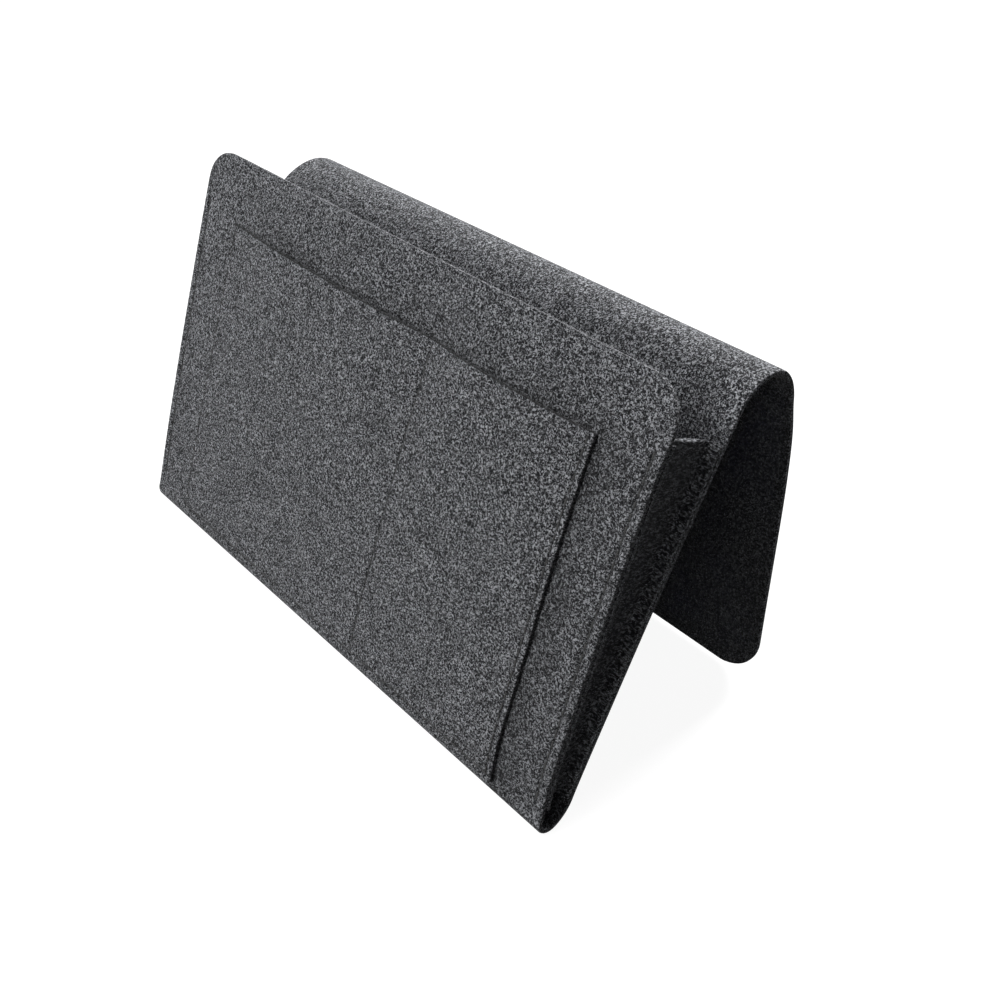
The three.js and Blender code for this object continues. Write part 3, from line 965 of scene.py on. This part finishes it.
def stitchTree():
    takes = {
        "Geometry": ("Geometry", None),
        "Pitch": ("Float", 0.005),
        "Length": ("Float", 0.0039),
        "Width": ("Float", 0.0008),
        "Height": ("Float", 0.0006),
        "Jitter": ("Float", 0.1),
        "Seed": ("Int", 4),
        "Material": ("Material", None),
    }
    tree, given, out = newTree("Stitch row", "GeometryNodeTree", takes, {"Geometry": ("Geometry", None)})
    curve = addNode(tree, "GeometryNodeMeshToCurve", {0: given["Geometry"]})
    even = addNode(
        tree,
        "GeometryNodeResampleCurve",
        {"Curve": curve.outputs[0], "Length": given["Pitch"]},
        mode="LENGTH",
    )
    outward = addNode(
        tree, "GeometryNodeInputNamedAttribute", {"Name": "outward"}, data_type="FLOAT_VECTOR"
    )
    tangent = addNode(tree, "GeometryNodeInputTangent")
    turned = addNode(tree, "FunctionNodeAxesToRotation", primary_axis="Z", secondary_axis="X")
    tree.links.new(outward.outputs[0], turned.inputs[0])
    tree.links.new(tangent.outputs[0], turned.inputs[1])
    bead = addNode(tree, "GeometryNodeMeshUVSphere", {"Segments": 8, "Rings": 6, "Radius": 0.5})
    size = addNode(
        tree, "ShaderNodeCombineXYZ", {0: given["Length"], 1: given["Width"], 2: given["Height"]}
    )
    low = addNode(tree, "ShaderNodeMath", {0: 1.0, 1: given["Jitter"]}, operation="SUBTRACT")
    high = addNode(tree, "ShaderNodeMath", {0: 1.0, 1: given["Jitter"]}, operation="ADD")
    wobble = addNode(tree, "FunctionNodeRandomValue", {"Seed": given["Seed"]}, data_type="FLOAT")
    tree.links.new(low.outputs[0], wobble.inputs[2])
    tree.links.new(high.outputs[0], wobble.inputs[3])
    scaled = addNode(
        tree, "ShaderNodeVectorMath", {0: size.outputs[0], "Scale": wobble.outputs[1]}, operation="SCALE"
    )
    rows = addNode(
        tree,
        "GeometryNodeInstanceOnPoints",
        {"Points": even.outputs[0], "Instance": bead.outputs["Mesh"], "Scale": scaled.outputs[0]},
    )
    tree.links.new(turned.outputs[0], rows.inputs["Rotation"])
    plain = addNode(tree, "GeometryNodeRealizeInstances", {"Geometry": rows.outputs[0]})
    soft = addNode(tree, "GeometryNodeSetShadeSmooth", {0: plain.outputs[0]})
    dressed = addNode(
        tree, "GeometryNodeSetMaterial", {"Geometry": soft.outputs[0], "Material": given["Material"]}
    )
    tree.links.new(dressed.outputs[0], out["Geometry"])
    return tree


stitchRow = stitchTree()


def seamLine(x, s, off):
    # a seam as points on the felt's face, with the way that the face looks at each
    place = sheetPoint(x, s, off)
    above = sheetPoint(x, s, off + 1)
    return place, above - place


def makeThread(name, lines, seed):
    # one row of stitches along each line of points
    points, ways, edges = [], [], []
    for place, way in lines:
        start = len(points)
        points += list(place)
        ways += list(way)
        edges += [(start + k, start + k + 1) for k in range(len(place) - 1)]
    piece = placeMesh(name, points, edges, [])
    storeVectors(piece.data, "outward", ways)
    modifier = piece.modifiers.new("stitchRow", "NODES")
    modifier.node_group = stitchRow
    for label, key in (("Length", "length"), ("Width", "width"), ("Height", "height")):
        setInput(modifier, label, stitchSizes[key] * mm)
    setInput(modifier, "Pitch", seamSizes["pitch"] * mm)
    setInput(modifier, "Jitter", stitchSizes["jitter"])
    setInput(modifier, "Seed", seed)
    setInput(modifier, "Material", threadDark)
    return finishNodes(piece)


def gussetSeams(panel):
    lines = []
    first, last = (seamSizes[panel + "From"], seamSizes[panel + "To"])
    run = np.arange(first + seamSizes["pitch"] / 2, last, 1.0)
    s = frontEnd - run if panel == "front" else backStart + run
    for side in (-1, 1):
        x = np.full(run.shape, side * (halfSheet - seamSizes["inset"]))
        dip = sheetRelief(x, s)[0]
        lines.append(seamLine(x, s, halfFelt + dip + stitchSizes["sink"]))
    return lines


def patchSeams():
    lines = []
    foot = patchSizes["rise"] + patchSizes["footInset"]
    top = patchSizes["rise"] + patchSizes["height"] - patchSizes["threadTop"]
    inset = patchSizes["inset"]
    ends = (patchSizes["left"] + inset, patchSizes["right"] - inset)
    half = seamSizes["pitch"] / 2
    rise = np.arange(foot + half, top, 1.0)
    runs = [(np.full(rise.shape, x), frontEnd - rise) for x in (*ends, patchSizes["divider"])]
    across = np.arange(ends[0] + half, ends[1], 1.0)
    runs.append((across, np.full(across.shape, frontEnd - foot)))
    for x, s in runs:
        off = 3 * halfFelt + patchSizes["gap"] + patchBulge(x, s) + patchRelief(x, s)[0]
        off = off + stitchSizes["sink"]
        lines.append(seamLine(x + patchShift(x, s), s, off))
    return lines


frontThread = makeThread("frontThread", gussetSeams("front"), 3)
backThread = makeThread("backThread", gussetSeams("back"), 7)
patchThread = makeThread("patchThread", patchSeams(), 11)
for made, _ in pathObjects.values():
    bpy.data.objects.remove(made)

# ---- floor, world and lamps ----
stageSizes = {
    "floor": 6.0,
    "glow": 0.93,
    "pale": 0.22,
    "bounce": 0.045,
    "ambient": 0.032,
    "lampAim": (0, -0.02, 0.09),
}


def shownDirectly(tree):
    # 1 where a surface is seen straight, in a reflection or through glass, and 0 where it only gives light
    seen = addNode(tree, "ShaderNodeLightPath").outputs
    rays = {0: seen["Is Camera Ray"], 1: seen["Is Glossy Ray"]}
    direct = addNode(tree, "ShaderNodeMath", rays, operation="MAXIMUM")
    rays = {0: direct.outputs[0], 1: seen["Is Transmission Ray"]}
    return addNode(tree, "ShaderNodeMath", rays, operation="MAXIMUM").outputs[0]


reachOut = stageSizes["floor"]
floorCorners = [(x * reachOut, y * reachOut, 0) for x, y in ((-1, -1), (1, -1), (1, 1), (-1, 1))]
floorMesh = bpy.data.meshes.new("floor")
floorMesh.from_pydata(floorCorners, [], [(0, 1, 2, 3)])
floor = bpy.data.objects.new("floor", floorMesh)
bpy.context.scene.collection.objects.link(floor)
floorPaint = bpy.data.materials.new("floorPaint")
floorPaint.use_nodes = True
floorTree = floorPaint.node_tree
floorTree.nodes.clear()
glow = addNode(floorTree, "ShaderNodeEmission", {0: (1, 1, 1, 1), 1: stageSizes["glow"]})
pale = addNode(floorTree, "ShaderNodeBsdfDiffuse", {0: (stageSizes["pale"],) * 3 + (1,)})
lit = addNode(floorTree, "ShaderNodeAddShader", {0: glow.outputs[0], 1: pale.outputs[0]})
quiet = addNode(floorTree, "ShaderNodeBsdfDiffuse", {0: (stageSizes["bounce"],) * 3 + (1,)})
mix = addNode(
    floorTree,
    "ShaderNodeMixShader",
    {0: shownDirectly(floorTree), 1: quiet.outputs[0], 2: lit.outputs[0]},
)
addNode(floorTree, "ShaderNodeOutputMaterial", {0: mix.outputs[0]})
floorMesh.materials.append(floorPaint)

world = bpy.data.worlds.new("studio")
bpy.context.scene.world = world
world.use_nodes = True
worldTree = world.node_tree
backdrop = worldTree.nodes["Background"]
worldLevel = addNode(
    worldTree,
    "ShaderNodeMapRange",
    {"Value": shownDirectly(worldTree), "To Min": stageSizes["ambient"], "To Max": 1.0},
)
backdrop.inputs[0].default_value = (1, 1, 1, 1)
worldTree.links.new(worldLevel.outputs[0], backdrop.inputs[1])

lampSizes = {
    "key": {"towards": (-0.25, -0.57, 0.77), "away": 2.0, "wide": 1.15, "high": 1.2, "power": 27.8},
    "low": {"towards": (-0.35, -0.93, 0.125), "away": 2.0, "wide": 1.4, "high": 0.5, "power": 10.4},
    "fill": {"towards": (0.4, -0.9, 0.15), "away": 2.0, "wide": 0.5, "high": 0.4, "power": 0.8},
    "rear": {"towards": (-0.02, 0.83, 0.55), "away": 1.6, "wide": 0.5, "high": 0.9, "power": 37},
}
for name, own in lampSizes.items():
    lampData = bpy.data.lights.new(name, "AREA")
    lampData.shape = "RECTANGLE"
    lampData.size, lampData.size_y, lampData.energy = own["wide"], own["high"], own["power"]
    lamp = bpy.data.objects.new(name, lampData)
    towards = Vector(own["towards"]).normalized()
    lamp.location = Vector(stageSizes["lampAim"]) + towards * own["away"]
    lamp.rotation_euler = towards.to_track_quat("Z", "Y").to_euler()
    lamp.visible_camera = False
    bpy.context.scene.collection.objects.link(lamp)
bpy.context.scene.view_settings.view_transform = "Standard"
print("stage set")

# ---- how the pieces move, and hiding the model's parts that they replace ----
for piece in (lowerSheet, leftGusset, rightGusset):
    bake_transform(piece)
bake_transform(upperSheet)
for piece in (frontPatch, frontThread, patchThread):
    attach(piece, "front")
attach(backThread, "back")

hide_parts("front_panel", "bottom_fold", "back_panel")
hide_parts("back_panel", "ridge", "flap")
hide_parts("pocket_patch")
for side, piece in (("left", leftGusset), ("right", rightGusset)):
    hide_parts(*(f"{side}_gusset_{part}" for part in ("web", "front_hem", "back_hem")))
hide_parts("left_front_stitches", "right_front_stitches")
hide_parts("left_back_stitches", "right_back_stitches")
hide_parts(*(f"patch_{part}_stitches" for part in ("left", "right", "divider", "bottom")))
